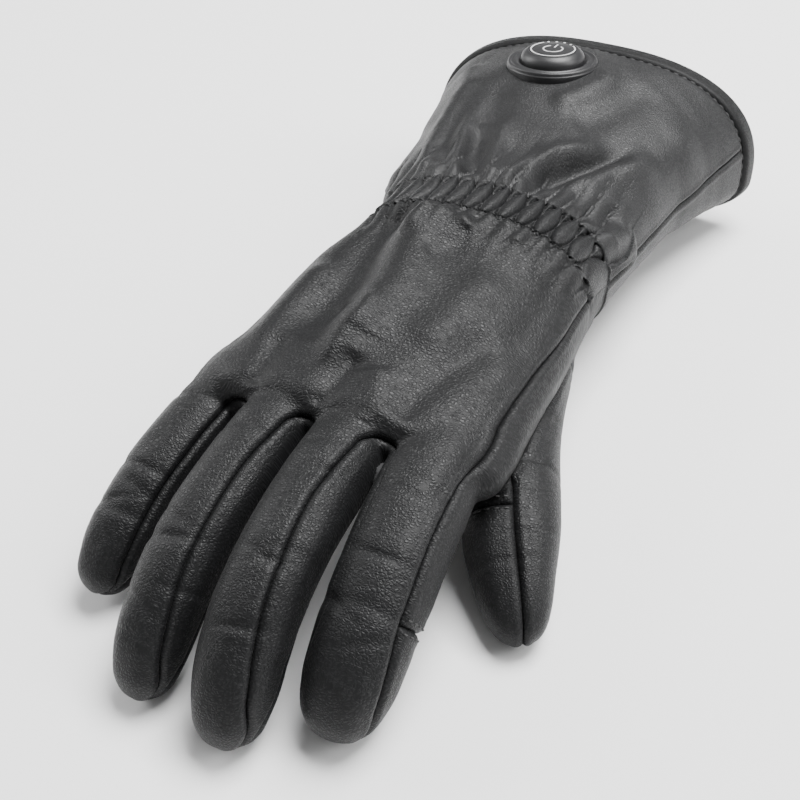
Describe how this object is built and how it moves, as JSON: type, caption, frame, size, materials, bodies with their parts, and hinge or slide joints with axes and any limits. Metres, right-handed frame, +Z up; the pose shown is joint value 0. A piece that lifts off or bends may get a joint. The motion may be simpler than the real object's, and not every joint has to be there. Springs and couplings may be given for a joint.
{
  "type": "heated glove",
  "caption": "Dark grey leather heated gauntlet glove for the right hand, with a gathered wrist, a flared bound cuff and a round rubber power button.",
  "frame": {"origin": "on the floor under the middle of the glove's bounding box", "axes": "+X towards the thumb side, +Y from the fingertips to the hem, +Z up from the floor"},
  "size_m": [0.1474, 0.3272, 0.0748],
  "materials": {
    "hand_leather": "soft satin, pebbled grain",
    "palm_leather": "soft satin, fine grain",
    "cuff_leather": "soft satin, smooth grain",
    "button_rubber": "matt",
    "button_print": "matt with pale print"
  },
  "bodies": {
    "root": {"back_panel": "hand_leather", "palm_panel": "palm_leather", "fourchette_little_ring": "hand_leather", "fourchette_ring_middle": "hand_leather", "fourchette_middle_index": "hand_leather", "index_touch_tip": "palm_leather", "thumb_back": "hand_leather", "thumb_front": "palm_leather", "thumb_touch_tip": "palm_leather", "gathered_wrist": "hand_leather", "cuff_back": "cuff_leather", "cuff_underside": "cuff_leather", "cuff_binding": "cuff_leather", "button_flange": "button_rubber", "button_dome": "button_rubber", "button_face": "button_print"}
  },
  "joints": []
}
